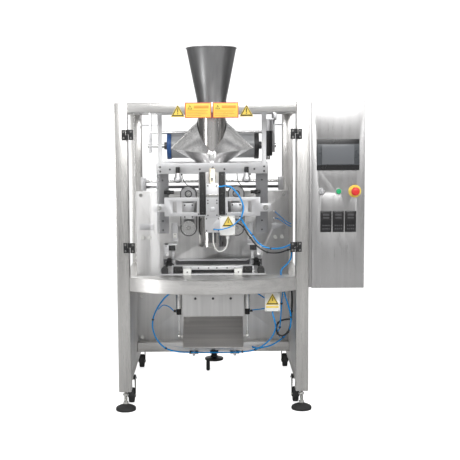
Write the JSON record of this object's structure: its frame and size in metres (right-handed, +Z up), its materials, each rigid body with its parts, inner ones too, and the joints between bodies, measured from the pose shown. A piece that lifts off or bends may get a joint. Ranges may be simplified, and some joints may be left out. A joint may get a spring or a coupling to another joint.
{
  "type": "vertical form fill sealer",
  "caption": "Upright bag machine: film from a reel folds over a shoulder round a tube, is filled from a hopper, pulled by belts and sealed between jaws.",
  "frame": {"origin": "centre of the whole machine's box, at floor level", "axes": "+X to the cabinet's side, +Y to the machine's rear, +Z up"},
  "size_m": [1.193, 1.07, 1.752],
  "materials": {
    "brushed_stainless": "brushed",
    "polished_stainless": "fine brushed to polished",
    "light_aluminium": "satin, blasted",
    "chrome_rod": "polished",
    "dark_steel": "dark non-stick coating",
    "black_plastic": "satin",
    "black_rubber": "matte",
    "clear_acrylic": "clear, polished",
    "green_plastic": "gloss",
    "red_plastic": "gloss",
    "white_plastic": "satin",
    "blue_hose": "smooth polyurethane",
    "film_roll": "wound film"
  },
  "bodies": {
    "frame": {"left_side_frame": "brushed_stainless", "right_side_frame": "brushed_stainless", "top_front_beam": "brushed_stainless", "top_rear_beam": "brushed_stainless", "base_rear_beam": "brushed_stainless", "back_plate": "brushed_stainless", "tray": "brushed_stainless", "left_foot": "black_plastic", "right_foot": "black_plastic", "cabinet_box": "brushed_stainless", "hopper": "brushed_stainless", "forming_tube": "polished_stainless", "forming_shoulder": "polished_stainless", "hanger_frame": "light_aluminium", "sealer_bracket": "light_aluminium", "sealer_cylinder": "light_aluminium", "jaw_drive": "light_aluminium", "film_cradle": "light_aluminium", "left_air_cylinder": "light_aluminium", "right_air_cylinder": "light_aluminium", "cross_beam": "brushed_stainless", "junction_box": "white_plastic", "electric_box": "white_plastic", "upper_air_hose": "blue_hose", "sensor_cable": "black_plastic", "heater_cable": "white_plastic", "lower_air_hose": "blue_hose", "right_air_hose": "blue_hose"},
    "front_left_wheel": {"front_left_wheel": "black_rubber"},
    "front_right_wheel": {"front_right_wheel": "black_rubber"},
    "rear_left_wheel": {"rear_left_wheel": "black_rubber"},
    "rear_right_wheel": {"rear_right_wheel": "black_rubber"},
    "left_door": {"left_door": "clear_acrylic"},
    "right_door": {"right_door": "clear_acrylic"},
    "cabinet_door": {"cabinet_door": "brushed_stainless", "touch_panel": "black_plastic", "temperature_controllers": "black_plastic"},
    "key_switch": {"key_switch": "polished_stainless"},
    "start_button": {"start_button": "green_plastic"},
    "emergency_stop": {"emergency_stop": "red_plastic"},
    "seal_bar": {"seal_bar": "dark_steel"},
    "left_belt_unit": {"left_belt_arm": "light_aluminium", "left_belt": "black_rubber"},
    "right_belt_unit": {"right_belt_arm": "light_aluminium", "right_belt": "black_rubber"},
    "left_upper_pulley": {"left_upper_pulley": "light_aluminium"},
    "left_lower_pulley": {"left_lower_pulley": "light_aluminium"},
    "right_upper_pulley": {"right_upper_pulley": "light_aluminium"},
    "right_lower_pulley": {"right_lower_pulley": "light_aluminium"},
    "front_jaw_unit": {"jaw_carriage": "light_aluminium", "front_jaw": "dark_steel"},
    "knife": {"knife": "polished_stainless"},
    "rear_jaw_unit": {"rear_jaw": "dark_steel"},
    "film_reel": {"film_reel": "film_roll"},
    "chute": {"discharge_chute": "brushed_stainless"},
    "left_rod": {"left_cylinder_rod": "chrome_rod"},
    "right_rod": {"right_cylinder_rod": "chrome_rod"},
    "handwheel": {"handwheel": "black_plastic"},
    "crank_handle": {"crank_handle": "black_plastic"}
  },
  "joints": [
    {"name": "front_left_wheel_spin", "type": "hinge", "parent": "frame", "child": "front_left_wheel", "pos_m": [-0.5295, -0.255, 0.0375], "axis": [1, 0, 0], "continuous": true},
    {"name": "front_right_wheel_spin", "type": "hinge", "parent": "frame", "child": "front_right_wheel", "pos_m": [0.2865, -0.255, 0.0375], "axis": [1, 0, 0], "continuous": true},
    {"name": "rear_left_wheel_spin", "type": "hinge", "parent": "frame", "child": "rear_left_wheel", "pos_m": [-0.5295, 0.445, 0.0375], "axis": [1, 0, 0], "continuous": true},
    {"name": "rear_right_wheel_spin", "type": "hinge", "parent": "frame", "child": "rear_right_wheel", "pos_m": [0.2865, 0.445, 0.0375], "axis": [1, 0, 0], "continuous": true},
    {"name": "left_door_hinge", "type": "hinge", "parent": "frame", "child": "left_door", "pos_m": [-0.5175, -0.423, 1], "axis": [0, 0, -1], "range_deg": [0, 110]},
    {"name": "right_door_hinge", "type": "hinge", "parent": "frame", "child": "right_door", "pos_m": [0.2745, -0.423, 1], "axis": [0, 0, 1], "range_deg": [0, 110]},
    {"name": "cabinet_door_hinge", "type": "hinge", "parent": "frame", "child": "cabinet_door", "pos_m": [0.596, -0.417, 1.038], "axis": [0, 0, 1], "range_deg": [0, 120]},
    {"name": "key_turn", "type": "hinge", "parent": "cabinet_door", "child": "key_switch", "pos_m": [0.3935, -0.415, 1.059], "axis": [0, 1, 0], "range_deg": [0, 90]},
    {"name": "start_press", "type": "slide", "parent": "cabinet_door", "child": "start_button", "axis": [0, 1, 0], "range_m": [0, 0.004], "stiffness_N_per_m": 400},
    {"name": "stop_press", "type": "slide", "parent": "cabinet_door", "child": "emergency_stop", "axis": [0, 1, 0], "range_m": [0, 0.006], "stiffness_N_per_m": 600},
    {"name": "seal_bar_press", "type": "slide", "parent": "frame", "child": "seal_bar", "axis": [0, 1, 0], "range_m": [0, 0.019]},
    {"name": "left_belt_shift", "type": "slide", "parent": "frame", "child": "left_belt_unit", "axis": [1, 0, 0], "range_m": [0, 0.0075]},
    {"name": "right_belt_shift", "type": "slide", "parent": "frame", "child": "right_belt_unit", "axis": [-1, 0, 0], "range_m": [0, 0.0075]},
    {"name": "left_upper_pulley_spin", "type": "hinge", "parent": "left_belt_unit", "child": "left_upper_pulley", "pos_m": [-0.2405, -0.14, 1.033], "axis": [0, 1, 0], "continuous": true},
    {"name": "left_lower_pulley_spin", "type": "hinge", "parent": "left_belt_unit", "child": "left_lower_pulley", "pos_m": [-0.2405, -0.14, 0.862], "axis": [0, 1, 0], "continuous": true},
    {"name": "right_upper_pulley_spin", "type": "hinge", "parent": "right_belt_unit", "child": "right_upper_pulley", "pos_m": [-0.0025, -0.14, 1.033], "axis": [0, 1, 0], "continuous": true},
    {"name": "right_lower_pulley_spin", "type": "hinge", "parent": "right_belt_unit", "child": "right_lower_pulley", "pos_m": [-0.0025, -0.14, 0.862], "axis": [0, 1, 0], "continuous": true},
    {"name": "front_jaw_close", "type": "slide", "parent": "frame", "child": "front_jaw_unit", "axis": [0, 1, 0], "range_m": [0, 0.0885]},
    {"name": "rear_jaw_close", "type": "slide", "parent": "frame", "child": "rear_jaw_unit", "axis": [0, -1, 0], "range_m": [0, 0.0885]},
    {"name": "knife_cut", "type": "slide", "parent": "front_jaw_unit", "child": "knife", "axis": [0, 1, 0], "range_m": [0, 0.012]},
    {"name": "film_reel_spin", "type": "hinge", "parent": "frame", "child": "film_reel", "pos_m": [-0.1215, 0.365, 1.262], "axis": [1, 0, 0], "continuous": true},
    {"name": "chute_tilt", "type": "hinge", "parent": "frame", "child": "chute", "pos_m": [-0.1215, 0.015, 0.402], "axis": [-1, 0, 0], "range_deg": [0, 20]},
    {"name": "left_rod_stroke", "type": "slide", "parent": "frame", "child": "left_rod", "axis": [0, 0, 1], "range_m": [0, 0.07]},
    {"name": "right_rod_stroke", "type": "slide", "parent": "frame", "child": "right_rod", "axis": [0, 0, 1], "range_m": [0, 0.07]},
    {"name": "handwheel_turn", "type": "hinge", "parent": "frame", "child": "handwheel", "pos_m": [-0.1175, 0.005, 0.151], "axis": [0, 0, 1], "continuous": true},
    {"name": "crank_spin", "type": "hinge", "parent": "handwheel", "child": "crank_handle", "pos_m": [-0.1495, 0.005, 0.0925], "axis": [0, 0, 1], "continuous": true}
  ],
  "couplings": [
    {"joint": "left_lower_pulley_spin", "follows": "left_upper_pulley_spin", "ratio": 1},
    {"joint": "right_upper_pulley_spin", "follows": "left_upper_pulley_spin", "ratio": -1},
    {"joint": "right_lower_pulley_spin", "follows": "left_upper_pulley_spin", "ratio": -1},
    {"joint": "right_belt_shift", "follows": "left_belt_shift", "ratio": 1},
    {"joint": "rear_jaw_close", "follows": "front_jaw_close", "ratio": 1},
    {"joint": "left_rod_stroke", "follows": "chute_tilt", "m_per_rad": 0.19},
    {"joint": "right_rod_stroke", "follows": "chute_tilt", "m_per_rad": 0.19}
  ]
}
